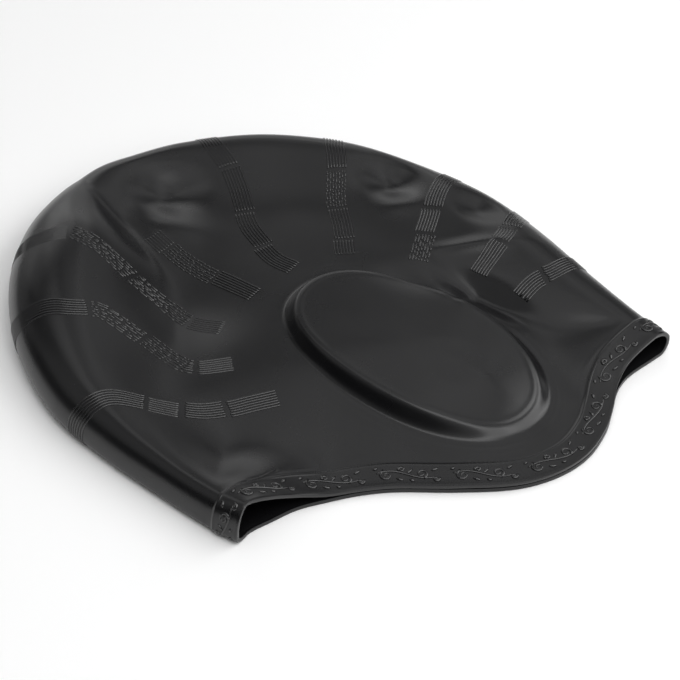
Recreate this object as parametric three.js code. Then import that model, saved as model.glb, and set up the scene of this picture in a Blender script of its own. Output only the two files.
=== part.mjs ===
// A moulded silicone swim cap with an ear pocket on each side, lying on its side as a flattened pouch.
// Millimetres, +Z up. +X runs from the nape fold to the brow fold, +Y from the mouth to the crown.
// The origin is on the floor under the middle of the cap's bounding box.
//
// The wall is one thin skin. It is laid out as a smooth middle surface in patches that share their
// edges: an ear pocket and a field round it on the upper and on the lower sheet, the rolled fold that
// joins the two sheets round the crown, and a band of constant width all round the mouth. The patches
// are merged, and the skin is then given its thickness along its own normals.
import * as THREE from "three";
import { mergeVertices } from "three/addons/utils/BufferGeometryUtils.js";

// Overall sizes
const CAP_WIDTH = 199; // nape fold to brow fold
const CAP_HEIGHT = 221; // lowest point of the ear lobe to the crown fold
const WALL = 1.0; // skin of the crown and the pockets

// Mouth band, a little thicker than the skin and raised on the outside
const BAND_WIDTH = 11;
const BAND_RISE = 0.4;
const BAND_STEP = 0.8; // width of the step up to the band
const LIP_GAP = 0.9; // clear gap between the two sheets at the ear lobe

// Rolled fold round the crown
const FOLD_LOFT = 24.4; // the upper sheet's height where the fold is fullest
const FOLD_LEAN = 24; // how far the widest shoulder reaches in from the fold
const FOLD_HEEL = 4; // how far the lower corner turns in under the fold
const SHOULDER_RUN = 62; // how far in the longest shoulder takes to come down to the field

// Upper sheet between the fold, the pocket and the band
const FIELD_LOFT = 9.9; // outer face over the floor away from the mouth
const HEM_RISE = 0.9; // how much higher than the lobe's lip the sheet stands just inside the mouth
const HEM_REACH = 62; // how far in from the mouth's edge the sheet takes to rise to the field
const MOUTH_RUN = 30; // how far in the height of the mouth's own corners dies away

// Ear pockets. Both have one outline: the lower one is pressed up by the floor it lies on
const POCKET_LENGTH = 101;
const POCKET_BREADTH = 62;
const POCKET_DEPTH = 8.5;
const POCKET_WALL_RUN = 5; // plan width of the pocket's side wall
const POCKET_TURN = -72; // degrees from +X to the long axis
const POCKET_SQUARENESS = 2.15; // superellipse exponent, 2 is a plain ellipse
const POCKET_SHIFT = 0.089; // of its centre from the cap's middle to the brow, as a share of CAP_WIDTH
const POCKET_CLEARANCE = 8; // from the mouth band up to the wall's foot, at the ear lobe
const UNDER_LIFT = 3.5; // how high the lower sheet stands round its pocket
const UNDER_REACH = 40; // how far from the pocket the lower sheet takes to come down to the floor

// Mesh steps
const CROWN_COLUMNS = 50;
const MOUTH_COLUMNS = 26;
const FIELD_RINGS = 11;
const UNDER_RINGS = 4;
const FACE_RINGS = 2;
const WALL_RINGS = 4;
const FOLD_RINGS = 8;
const CURVE_SAMPLES = 600;
const COLUMN_EVENNESS = 0.3; // 0 points the columns at the pocket's middle, 1 spaces them evenly round it
const CORNER_SHARE = 0.2; // share of the mouth over which its corners take the fold's own shape
const MERGE_DISTANCE = 1e-3;

// The fold's outer line, from the brow tip round the crown to the nape tip. x and y are shares of the
// cap's width and height, loft is a share of FOLD_LOFT, lean of FOLD_LEAN and run of SHOULDER_RUN.
// waist is the height of the fold's outermost line as a share of its own loft.
const FOLD_ROWS = [
  { x: 0.503, y: -0.371, loft: 0.46, lean: 0.3, run: 0.5, waist: 0.52 },
  { x: 0.493, y: -0.299, loft: 0.52, lean: 0.36, run: 0.5, waist: 0.47 },
  { x: 0.486, y: -0.199, loft: 0.6, lean: 0.45, run: 0.55, waist: 0.42 },
  { x: 0.484, y: -0.058, loft: 0.66, lean: 0.54, run: 0.6, waist: 0.36 },
  { x: 0.471, y: 0.065, loft: 0.64, lean: 0.56, run: 0.6, waist: 0.35 },
  { x: 0.430, y: 0.176, loft: 0.6, lean: 0.56, run: 0.6, waist: 0.35 },
  { x: 0.369, y: 0.286, loft: 0.6, lean: 0.56, run: 0.6, waist: 0.35 },
  { x: 0.297, y: 0.362, loft: 0.62, lean: 0.56, run: 0.65, waist: 0.35 },
  { x: 0.199, y: 0.427, loft: 0.66, lean: 0.56, run: 0.7, waist: 0.35 },
  { x: 0.057, y: 0.480, loft: 0.68, lean: 0.56, run: 0.7, waist: 0.35 },
  { x: -0.040, y: 0.495, loft: 0.7, lean: 0.58, run: 0.7, waist: 0.35 },
  { x: -0.131, y: 0.498, loft: 0.76, lean: 0.62, run: 0.75, waist: 0.36 },
  { x: -0.232, y: 0.460, loft: 0.9, lean: 0.74, run: 0.9, waist: 0.38 },
  { x: -0.328, y: 0.404, loft: 1, lean: 0.86, run: 1, waist: 0.4 },
  { x: -0.417, y: 0.310, loft: 1, lean: 0.9, run: 1, waist: 0.4 },
  { x: -0.477, y: 0.187, loft: 0.92, lean: 0.82, run: 0.9, waist: 0.36 },
  { x: -0.499, y: 0.043, loft: 0.78, lean: 0.62, run: 0.7, waist: 0.3 },
  { x: -0.479, y: -0.078, loft: 0.66, lean: 0.42, run: 0.6, waist: 0.26 },
  { x: -0.444, y: -0.202, loft: 0.57, lean: 0.3, run: 0.5, waist: 0.23 },
  { x: -0.414, y: -0.296, loft: 0.53, lean: 0.26, run: 0.5, waist: 0.22 },
  { x: -0.390, y: -0.347, loft: 0.51, lean: 0.26, run: 0.5, waist: 0.22 },
];

// The mouth's edge between the two tips, from the nape to the brow. x and y are shares as above. lip is
// the clear height inside the mouth as a share of FOLD_LOFT, on top of the gap at the ear lobe.
const MOUTH_ROWS = [
  { x: -0.317, y: -0.334, lip: 0.36 },
  { x: -0.264, y: -0.335, lip: 0.3 },
  { x: -0.212, y: -0.347, lip: 0.18 },
  { x: -0.157, y: -0.363, lip: 0.07 },
  { x: -0.103, y: -0.387, lip: 0.01 },
  { x: -0.020, y: -0.438, lip: 0 },
  { x: 0.068, y: -0.484, lip: 0 },
  { x: 0.139, y: -0.500, lip: 0 },
  { x: 0.211, y: -0.495, lip: 0 },
  { x: 0.277, y: -0.467, lip: 0 },
  { x: 0.323, y: -0.433, lip: 0.02 },
  { x: 0.362, y: -0.402, lip: 0.08 },
  { x: 0.400, y: -0.385, lip: 0.2 },
];

// Folds and dents of the upper sheet. x and y place the middle as shares of the cap's width and height,
// along and across are half sizes as shares of CAP_HEIGHT, turn is in degrees from +X to the long way,
// and rise is a share of FIELD_LOFT, negative for a hollow.
const DENT_ROWS = [
  { name: "nape crease", x: -0.168, y: 0.310, along: 0.17, across: 0.042, turn: 92, rise: -0.58 },
  { name: "crease ridge", x: -0.112, y: 0.330, along: 0.12, across: 0.04, turn: 98, rise: 0.29 },
  { name: "nape valley", x: -0.236, y: 0.170, along: 0.17, across: 0.05, turn: 76, rise: -0.41 },
  { name: "first crown dimple", x: -0.050, y: 0.378, along: 0.06, across: 0.048, turn: 150, rise: -0.58 },
  { name: "second crown dimple", x: 0.322, y: 0.178, along: 0.058, across: 0.046, turn: 120, rise: -0.58 },
  { name: "brow hollow", x: 0.411, y: 0.047, along: 0.05, across: 0.042, turn: 100, rise: -0.29 },
  { name: "brow ridge", x: 0.337, y: -0.034, along: 0.1, across: 0.04, turn: -8, rise: 0.29 },
  { name: "pocket trough", x: 0.268, y: -0.178, along: 0.1, across: 0.04, turn: 92, rise: -0.35 },
];

const lerp = THREE.MathUtils.lerp;
const smooth = (x) => THREE.MathUtils.smoothstep(x, 0, 1);

/** Rises from 0 to 1 with a round start and a long soft landing. */
function settle(x) {
  const left = 1 - THREE.MathUtils.clamp(x, 0, 1);
  return 1 - left ** 3 * (4 - 3 * left);
}

/** A smooth curve through rows with x, y and further named columns, read by the distance along it. */
class RowCurve {
  constructor(rows, columns) {
    this.columns = columns;
    const knots = [0];
    for (let i = 1; i < rows.length; i++) {
      knots.push(knots[i - 1] + Math.hypot(rows[i].x - rows[i - 1].x, rows[i].y - rows[i - 1].y));
    }
    const last = knots[knots.length - 1];
    this.samples = Array.from({ length: CURVE_SAMPLES + 1 }, (_, k) => {
      const u = (last * k) / CURVE_SAMPLES;
      return Object.fromEntries(columns.map((c) => [c, hermite(knots, rows.map((r) => r[c]), u)]));
    });
    this.along = [0];
    for (let i = 1; i < this.samples.length; i++) {
      const [a, b] = [this.samples[i - 1], this.samples[i]];
      this.along.push(this.along[i - 1] + Math.hypot(b.x - a.x, b.y - a.y));
    }
    this.length = this.along[this.along.length - 1];
  }

  /** The row at a distance along the curve, with its outward normal (nx, ny) on the right-hand side. */
  at(distance) {
    const d = THREE.MathUtils.clamp(distance, 0, this.length);
    let i = this.along.findIndex((a) => a >= d);
    i = Math.max(1, i);
    const [a, b] = [this.samples[i - 1], this.samples[i]];
    const t = (d - this.along[i - 1]) / (this.along[i] - this.along[i - 1]);
    const row = Object.fromEntries(this.columns.map((c) => [c, lerp(a[c], b[c], t)]));
    const before = this.samples[Math.max(0, i - 3)];
    const after = this.samples[Math.min(this.samples.length - 1, i + 2)];
    const span = Math.hypot(after.x - before.x, after.y - before.y);
    row.nx = (after.y - before.y) / span;
    row.ny = -(after.x - before.x) / span;
    return row;
  }
}

/** Cubic interpolation through (knots, values) with slopes taken from the neighbouring rows. */
function hermite(knots, values, u) {
  const last = knots.length - 1;
  let i = knots.findIndex((k) => k >= u);
  i = THREE.MathUtils.clamp((i < 0 ? last : i) - 1, 0, last - 1);
  const slope = (j) => {
    const [lo, hi] = [Math.max(0, j - 1), Math.min(last, j + 1)];
    return (values[hi] - values[lo]) / (knots[hi] - knots[lo]);
  };
  const h = knots[i + 1] - knots[i];
  const t = (u - knots[i]) / h;
  return (
    (2 * t ** 3 - 3 * t ** 2 + 1) * values[i] +
    (t ** 3 - 2 * t ** 2 + t) * h * slope(i) +
    (3 * t ** 2 - 2 * t ** 3) * values[i + 1] +
    (t ** 3 - t ** 2) * h * slope(i + 1)
  );
}

const placed = (row) => ({ ...row, x: row.x * CAP_WIDTH, y: row.y * CAP_HEIGHT });
const foldColumns = ["x", "y", "loft", "lean", "run", "waist"];
const fold = new RowCurve(
  FOLD_ROWS.map((r) => ({
    ...placed(r),
    loft: r.loft * FOLD_LOFT,
    lean: r.lean * FOLD_LEAN,
    run: r.run * SHOULDER_RUN,
  })),
  foldColumns,
);

/** A point a given way in from the fold's outermost line. */
const inset = (row, distance) => ({ x: row.x - row.nx * distance, y: row.y - row.ny * distance });

const browTip = fold.at(0);
const napeTip = fold.at(fold.length);
const lobeLip = 2 * WALL + BAND_RISE + LIP_GAP;
const hemLoft = lobeLip + HEM_RISE;

/** The mouth's edge in plan, from one tip's outermost point to the other's, through the table's rows. */
const mouth = new RowCurve(
  [
    { ...inset(napeTip, 0), lip: napeTip.loft },
    { ...inset(napeTip, napeTip.lean), lip: napeTip.loft },
    ...MOUTH_ROWS.map((r) => ({ ...placed(r), lip: lobeLip + r.lip * FOLD_LOFT })),
    { ...inset(browTip, browTip.lean), lip: browTip.loft },
    { ...inset(browTip, 0), lip: browTip.loft },
  ],
  ["x", "y", "lip"],
);

/** The height of the upper sheet's open field, which is drawn down along the mouth. */
function fieldLoft(p) {
  const fromMouth = Math.min(...mouth.samples.map((m) => Math.hypot(p.x - m.x, p.y - m.y)));
  return lerp(hemLoft, FIELD_LOFT, smooth(fromMouth / HEM_REACH));
}

/** The folds and dents at a plan point, added to the upper sheet's height. */
function dentAt(x, y) {
  return DENT_ROWS.reduce((sum, dent) => {
    const turn = THREE.MathUtils.degToRad(dent.turn);
    const [dx, dy] = [x - dent.x * CAP_WIDTH, y - dent.y * CAP_HEIGHT];
    const along = (dx * Math.cos(turn) + dy * Math.sin(turn)) / (dent.along * CAP_HEIGHT);
    const across = (dy * Math.cos(turn) - dx * Math.sin(turn)) / (dent.across * CAP_HEIGHT);
    return sum + dent.rise * FIELD_LOFT * Math.exp(-(along ** 2) - across ** 2);
  }, 0);
}

/** The radius of the pocket's outline at a bearing from its centre, a given way in from the wall's foot. */
function pocketRadius(bearing, inward) {
  const turn = THREE.MathUtils.degToRad(POCKET_TURN);
  const [half, breadth] = [POCKET_LENGTH / 2 - inward, POCKET_BREADTH / 2 - inward];
  const [c, s] = [Math.cos(bearing - turn), Math.sin(bearing - turn)];
  const n = POCKET_SQUARENESS;
  return (Math.abs(c / half) ** n + Math.abs(s / breadth) ** n) ** (-1 / n);
}

/** The pocket's centre: its wall's foot stands clear of the band where the mouth reaches lowest. */
function pocketCentre() {
  const lowest = Math.min(...mouth.samples.map((m) => m.y));
  const bearings = mouth.samples.map((_, k) => (2 * Math.PI * k) / CURVE_SAMPLES);
  const reach = Math.max(...bearings.map((b) => pocketRadius(b, 0) * Math.sin(b)));
  return { x: POCKET_SHIFT * CAP_WIDTH, y: lowest + BAND_WIDTH + POCKET_CLEARANCE + reach };
}
const centre = pocketCentre();

/** The pocket's outline at a bearing from its centre, a given way in from the wall's foot. */
function pocketPoint(bearing, inward) {
  const radius = pocketRadius(bearing, inward);
  return { x: centre.x + radius * Math.cos(bearing), y: centre.y + radius * Math.sin(bearing) };
}

/** The columns' outer ends for one sheet: along the fold's upper or lower edge, then along the band. */
function sheetEdge(isUpper) {
  const crown = Array.from({ length: CROWN_COLUMNS + 1 }, (_, j) => {
    const row = fold.at(lerp(BAND_WIDTH, fold.length - BAND_WIDTH, j / CROWN_COLUMNS));
    return { ...inset(row, isUpper ? row.lean : FOLD_HEEL), z: isUpper ? row.loft : 0, run: row.run };
  });
  const band = Array.from({ length: MOUTH_COLUMNS + 1 }, (_, j) => {
    const share = j / MOUTH_COLUMNS;
    const corner = lerp(napeTip.run, browTip.run, share);
    const run = lerp(corner, MOUTH_RUN, smooth(Math.min(share, 1 - share) / (2 * CORNER_SHARE)));
    return { ...bandPoint(share, BAND_WIDTH, isUpper), run };
  });
  return [...crown, ...band.slice(1, -1)];
}

/** A point of the mouth band: share runs from nape to brow, distance is measured in from the lip. */
function bandPoint(share, distance, isUpper) {
  const starts = isUpper ? napeTip.lean : FOLD_HEEL;
  const ends = mouth.length - (isUpper ? browTip.lean : FOLD_HEEL);
  const row = mouth.at(lerp(starts, ends, share));
  const plain = inset(row, distance);
  const corners = [
    { row: fold.at(fold.length - distance), weight: smooth(1 - share / CORNER_SHARE), at: starts },
    { row: fold.at(distance), weight: smooth(1 - (1 - share) / CORNER_SHARE), at: ends },
  ];
  for (const corner of corners) {
    const wanted = inset(corner.row, isUpper ? corner.row.lean : FOLD_HEEL);
    const found = inset(mouth.at(corner.at), distance);
    plain.x += (wanted.x - found.x) * corner.weight;
    plain.y += (wanted.y - found.y) * corner.weight;
  }
  if (!isUpper) {
    return { ...plain, z: bandRise(distance) };
  }
  const tipLoft = lerp(row.lip, fieldLoft(plain), distance / (2 * BAND_WIDTH));
  const corner = Math.max(corners[0].weight, corners[1].weight);
  const nearest = corners[0].weight > corners[1].weight ? corners[0] : corners[1];
  return { ...plain, z: lerp(tipLoft, nearest.row.loft, corner) };
}

/** How far the outside is raised at a distance in from the lip. */
const bandRise = (distance) => BAND_RISE * smooth((BAND_WIDTH - distance) / BAND_STEP);

const triangles = [];
const rises = [];

/** Adds a grid of points as triangles. point(i, j) gives x, y, z and rise; flip turns the faces over. */
function addGrid(rows, columns, point, flip = false) {
  const grid = Array.from({ length: rows + 1 }, (_, i) =>
    Array.from({ length: columns + 1 }, (_, j) => point(i, j)),
  );
  for (let i = 0; i < rows; i++) {
    for (let j = 0; j < columns; j++) {
      const [a, b, c, d] = [grid[i][j], grid[i + 1][j], grid[i + 1][j + 1], grid[i][j + 1]];
      for (const corners of [[a, b, c], [a, c, d]]) {
        for (const p of flip ? corners.reverse() : corners) {
          triangles.push(p.x, p.y, p.z);
          rises.push(p.rise ?? 0);
        }
      }
    }
  }
}

/** The upper or lower sheet inside the fold and the band: its field, its pocket's wall and face. */
function addSheet(isUpper) {
  const edge = sheetEdge(isUpper);
  const bearings = edge.map((p) => Math.atan2(p.y - centre.y, p.x - centre.x));
  const unwrapped = bearings.map((b, j) => (j > 0 && b < bearings[0] - 1e-6 ? b + 2 * Math.PI : b));
  const feet = edge.map((_, j) => {
    const even = unwrapped[0] + (2 * Math.PI * j) / edge.length;
    const bearing = lerp(unwrapped[j], even, COLUMN_EVENNESS);
    return { bearing, ...pocketPoint(bearing, 0) };
  });
  const height = (p, end, share, length) => {
    if (!isUpper) {
      const room = Math.min(length, UNDER_REACH);
      return UNDER_LIFT * smooth(length / UNDER_REACH) * smooth(1 - (share * length) / room);
    }
    const over = (end.z - fieldLoft(end)) * (1 - settle(((1 - share) * length) / end.run));
    return fieldLoft(p) + over + dentAt(p.x, p.y);
  };
  const rings = isUpper ? FIELD_RINGS : UNDER_RINGS;
  const column = (j) => j % edge.length;
  const fieldPoint = (i, j) => {
    const [foot, end] = [feet[column(j)], edge[column(j)]];
    const length = Math.hypot(end.x - foot.x, end.y - foot.y);
    const p = { x: lerp(foot.x, end.x, i / rings), y: lerp(foot.y, end.y, i / rings) };
    return { ...p, z: height(p, end, i / rings, length) };
  };
  addGrid(rings, edge.length, fieldPoint, !isUpper);

  const wallPoint = (i, j) => {
    const share = 1 - i / WALL_RINGS;
    const p = pocketPoint(feet[column(j)].bearing, POCKET_WALL_RUN * share);
    const foot = fieldPoint(0, j);
    const climb = smooth(share);
    if (!isUpper) {
      return { ...p, z: foot.z * (1 - climb) };
    }
    const face = fieldLoft(p) + POCKET_DEPTH + dentAt(p.x, p.y);
    return { ...p, z: lerp(foot.z, face, climb) };
  };
  addGrid(WALL_RINGS, edge.length, wallPoint, !isUpper);

  const facePoint = (i, j) => {
    const rim = pocketPoint(feet[column(j)].bearing, POCKET_WALL_RUN);
    const share = i / FACE_RINGS;
    const p = { x: lerp(centre.x, rim.x, share), y: lerp(centre.y, rim.y, share) };
    return { ...p, z: isUpper ? fieldLoft(p) + POCKET_DEPTH + dentAt(p.x, p.y) : 0 };
  };
  addGrid(FACE_RINGS, edge.length, facePoint, !isUpper);
}

/** A point of the rolled fold: turn runs from the upper sheet at 0 round the outside to the floor at 1. */
function foldPoint(distance, turn, floor = 0) {
  const row = fold.at(distance);
  const angle = Math.PI * turn;
  const waist = row.waist * row.loft;
  const inward = (turn < 0.5 ? row.lean : FOLD_HEEL) * (1 - Math.sin(angle));
  const p = inset(row, inward);
  if (turn >= 0.5) {
    return { ...p, z: lerp(floor, waist, 1 + Math.cos(angle)) };
  }
  return { ...p, z: lerp(waist, row.loft, Math.cos(angle)) + dentAt(p.x, p.y) * Math.cos(angle) };
}

/** The fold between the two sheets, round the crown. */
function addFold() {
  const point = (i, j) =>
    foldPoint(lerp(BAND_WIDTH, fold.length - BAND_WIDTH, j / CROWN_COLUMNS), i / FOLD_RINGS);
  addGrid(FOLD_RINGS, CROWN_COLUMNS, point);
}

/** The band round the mouth: two sheets and the two ends of the fold. */
function addBand() {
  const distances = [BAND_WIDTH, BAND_WIDTH - BAND_STEP, BAND_WIDTH / 2, 0];
  const rings = distances.length - 1;
  for (const isUpper of [true, false]) {
    const point = (i, j) => {
      const p = bandPoint(j / MOUTH_COLUMNS, distances[i], isUpper);
      const dent = isUpper ? dentAt(p.x, p.y) : 0;
      return { ...p, z: p.z + dent, rise: bandRise(distances[i]) };
    };
    addGrid(rings, MOUTH_COLUMNS, point, !isUpper);
  }
  const foldEnd = (distance, turn, rise) => ({ ...foldPoint(distance, turn, rise), rise });
  const napeEnd = (i, j) =>
    foldEnd(fold.length - distances[i], j / FOLD_RINGS, bandRise(distances[i]));
  const browEnd = (i, j) => foldEnd(distances[i], j / FOLD_RINGS, bandRise(distances[i]));
  addGrid(rings, FOLD_RINGS, napeEnd, true);
  addGrid(rings, FOLD_RINGS, browEnd, false);
}

/** Merges the patches into one surface with smooth normals, and drops triangles with no area. */
function mergedSkin() {
  const loose = new THREE.BufferGeometry();
  loose.setAttribute("position", new THREE.Float32BufferAttribute(triangles, 3));
  loose.setAttribute("rise", new THREE.Float32BufferAttribute(rises, 1));
  const merged = mergeVertices(loose, MERGE_DISTANCE);
  const index = Array.from(merged.index.array);
  const kept = [];
  for (let i = 0; i < index.length; i += 3) {
    const [a, b, c] = index.slice(i, i + 3);
    if (a !== b && b !== c && c !== a) {
      kept.push(a, b, c);
    }
  }
  merged.setIndex(kept);
  merged.computeVertexNormals();
  return merged;
}

/** Gives the skin its thickness: the outside, the inside a wall further in, and the lip between them. */
function thickened(skin) {
  const count = skin.attributes.position.count;
  const points = [];
  const push = (shift) => {
    for (let v = 0; v < count; v++) {
      const p = new THREE.Vector3().fromBufferAttribute(skin.attributes.position, v);
      const n = new THREE.Vector3().fromBufferAttribute(skin.attributes.normal, v);
      points.push(...p.addScaledVector(n, shift(v)).toArray());
    }
  };
  push((v) => skin.attributes.rise.getX(v));
  push(() => -WALL);
  const outside = Array.from(skin.index.array);
  const faces = [...outside];
  const edges = new Map();
  for (let i = 0; i < outside.length; i += 3) {
    const corners = outside.slice(i, i + 3);
    faces.push(...corners.map((v) => v + count).reverse());
    corners.forEach((v, k) => {
      const next = corners[(k + 1) % 3];
      const twin = `${next} ${v}`;
      if (!edges.delete(twin)) {
        edges.set(`${v} ${next}`, [v, next]);
      }
    });
  }
  for (const [a, b] of edges.values()) {
    faces.push(b, a, a + count, b, a + count, b + count);
  }
  const solid = new THREE.BufferGeometry();
  solid.setAttribute("position", new THREE.Float32BufferAttribute(points, 3));
  solid.setIndex(faces);
  return solid;
}

addSheet(true);
addSheet(false);
addFold();
addBand();

const shell = thickened(mergedSkin());
shell.computeBoundingBox();
const box = shell.boundingBox;
shell.translate(-(box.min.x + box.max.x) / 2, -(box.min.y + box.max.y) / 2, -box.min.z);
shell.computeVertexNormals();

const silicone = new THREE.MeshStandardMaterial({ color: 0x17171a, roughness: 0.45, metalness: 0 });
const cap = new THREE.Mesh(shell, silicone);
cap.name = "cap_shell";

const group = new THREE.Group();
group.add(cap);
export default group;
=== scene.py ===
"""A black silicone swim cap with ear pockets, lying on its side on a pale floor in soft studio light.

Tables and fields are in millimetres unless they say otherwise, and the scene is in metres. The cap lies
as its CAD solid does: +X runs from the nape fold to the brow fold, +Y from the mouth to the crown, +Z up.
"""

import logging
import math
import random
from dataclasses import dataclass, field
from enum import Enum
from typing import NamedTuple

import bmesh
import bpy
import numpy as np
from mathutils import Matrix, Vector
from mathutils.bvhtree import BVHTree


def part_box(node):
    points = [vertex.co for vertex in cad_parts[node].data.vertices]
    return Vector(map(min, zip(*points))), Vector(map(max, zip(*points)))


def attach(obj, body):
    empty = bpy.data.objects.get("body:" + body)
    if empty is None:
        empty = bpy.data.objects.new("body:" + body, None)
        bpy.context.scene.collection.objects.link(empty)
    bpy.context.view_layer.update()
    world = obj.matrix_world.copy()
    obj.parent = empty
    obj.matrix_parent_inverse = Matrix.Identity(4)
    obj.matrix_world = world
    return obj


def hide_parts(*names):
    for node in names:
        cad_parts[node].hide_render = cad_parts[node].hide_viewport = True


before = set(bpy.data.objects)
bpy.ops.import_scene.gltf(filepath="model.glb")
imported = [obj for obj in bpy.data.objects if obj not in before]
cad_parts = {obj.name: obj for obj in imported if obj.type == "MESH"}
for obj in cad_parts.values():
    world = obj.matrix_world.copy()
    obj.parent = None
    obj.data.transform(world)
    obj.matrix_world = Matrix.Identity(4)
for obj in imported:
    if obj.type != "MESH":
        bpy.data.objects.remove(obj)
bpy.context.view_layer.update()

LOG = logging.getLogger("swim_cap")
MM = 0.001
NODE = "cap_shell"
BODY = "root"
BEAD_WELD = 1e-6


class FoldRow(NamedTuple):
    """A row of the rolled fold: place and sizes as shares of the cap's named sizes."""

    x: float
    y: float
    loft: float
    lean: float
    run: float
    waist: float


class MouthRow(NamedTuple):
    """A row of the mouth's edge: place and clear height as shares of the cap's named sizes."""

    x: float
    y: float
    lip: float


class Dent(NamedTuple):
    """A hollow or ridge of the upper sheet, in millimetres, with its long way's turn in degrees.

    A gentle width over 0 is taken on the right of the long way, where the side is then round.
    """

    x: float
    y: float
    along: float
    across: float
    turn: float
    rise: float
    power: float = 2.0
    gentle: float = 0.0


# From the brow tip round the crown to the nape tip
FOLD_ROWS = (
    FoldRow(0.503, -0.371, 0.46, 0.3, 0.5, 0.52),
    FoldRow(0.493, -0.299, 0.52, 0.36, 0.5, 0.47),
    FoldRow(0.486, -0.199, 0.6, 0.45, 0.55, 0.42),
    FoldRow(0.484, -0.058, 0.66, 0.54, 0.6, 0.36),
    FoldRow(0.471, 0.065, 0.64, 0.56, 0.6, 0.35),
    FoldRow(0.430, 0.176, 0.6, 0.48, 0.6, 0.35),
    FoldRow(0.369, 0.286, 0.6, 0.42, 0.6, 0.35),
    FoldRow(0.297, 0.362, 0.62, 0.4, 0.65, 0.35),
    FoldRow(0.199, 0.427, 0.66, 0.38, 0.7, 0.35),
    FoldRow(0.057, 0.480, 0.68, 0.38, 0.7, 0.35),
    FoldRow(-0.040, 0.495, 0.7, 0.4, 0.7, 0.35),
    FoldRow(-0.131, 0.498, 0.76, 0.46, 0.75, 0.36),
    FoldRow(-0.232, 0.460, 0.9, 0.62, 0.9, 0.38),
    FoldRow(-0.328, 0.404, 1.0, 0.86, 1.0, 0.4),
    FoldRow(-0.417, 0.310, 1.0, 0.9, 1.0, 0.4),
    FoldRow(-0.477, 0.187, 0.92, 0.82, 0.9, 0.36),
    FoldRow(-0.499, 0.043, 0.78, 0.62, 0.7, 0.3),
    FoldRow(-0.479, -0.078, 0.66, 0.42, 0.6, 0.26),
    FoldRow(-0.444, -0.202, 0.57, 0.3, 0.5, 0.23),
    FoldRow(-0.414, -0.296, 0.57, 0.28, 0.5, 0.22),
    FoldRow(-0.390, -0.347, 0.58, 0.28, 0.5, 0.22),
)

# From the nape to the brow
MOUTH_ROWS = (
    MouthRow(-0.317, -0.334, 0.37),
    MouthRow(-0.264, -0.335, 0.17),
    MouthRow(-0.212, -0.347, 0.04),
    MouthRow(-0.157, -0.363, 0.0),
    MouthRow(-0.103, -0.387, 0.0),
    MouthRow(-0.020, -0.438, 0.0),
    MouthRow(0.068, -0.484, 0.0),
    MouthRow(0.139, -0.500, 0.0),
    MouthRow(0.211, -0.495, 0.0),
    MouthRow(0.277, -0.467, 0.0),
    MouthRow(0.323, -0.433, 0.02),
    MouthRow(0.362, -0.402, 0.08),
    MouthRow(0.400, -0.385, 0.2),
)

DENTS = (
    # Nape crease and the valley below it, steep on the nape side
    Dent(-32.0, 77.0, 27.0, 8.0, 91, -7.0, 1.25, 11.0),
    Dent(-38.0, 32.0, 25.0, 11.0, 72, -4.0, 1.4, 20.0),
    # First crown dimple and its near lobe
    Dent(-9.0, 84.0, 13.0, 11.0, 140, -4.4),
    Dent(-15.5, 63.0, 12.0, 7.0, -42, 0.9),
    # Second crown dimple
    Dent(66.0, 41.0, 11.0, 8.5, 115, -4.6),
    Dent(60.5, 26.5, 9.0, 5.0, 140, 0.9),
    # Brow hollow and ridge
    Dent(82.0, 7.5, 11.0, 7.0, 100, -3.4),
    Dent(68.0, -8.5, 15.0, 3.4, -36, 2.1, 1.6),
    # Trough beside the pocket, and the pinch in its edge
    Dent(58.0, -29.5, 17.0, 5.5, -74, -5.0),
    Dent(50.4, -27.4, 5.0, 2.4, 16, -1.9),
    # Shallow hollow inside the pocket's far edge
    Dent(39.6, -10.6, 14.0, 7.0, -58, -1.7),
)


def smooth(x: np.ndarray) -> np.ndarray:
    """Returns the smooth step of x from 0 to 1."""
    t = np.clip(x, 0.0, 1.0)
    return t * t * (3.0 - 2.0 * t)


def settle(x: np.ndarray) -> np.ndarray:
    """Returns a rise from 0 to 1 with a round start and a long soft landing."""
    left = 1.0 - np.clip(x, 0.0, 1.0)
    return 1.0 - left**3 * (4.0 - 3.0 * left)


def lerp(a: np.ndarray, b: np.ndarray, t: np.ndarray) -> np.ndarray:
    """Returns a at t = 0 and b at t = 1."""
    return a + (b - a) * t


def hump(x: np.ndarray, middle: float, half: float) -> np.ndarray:
    """Returns a bell of height 1 about the middle."""
    return np.exp(-(((x - middle) / half) ** 2))


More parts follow.
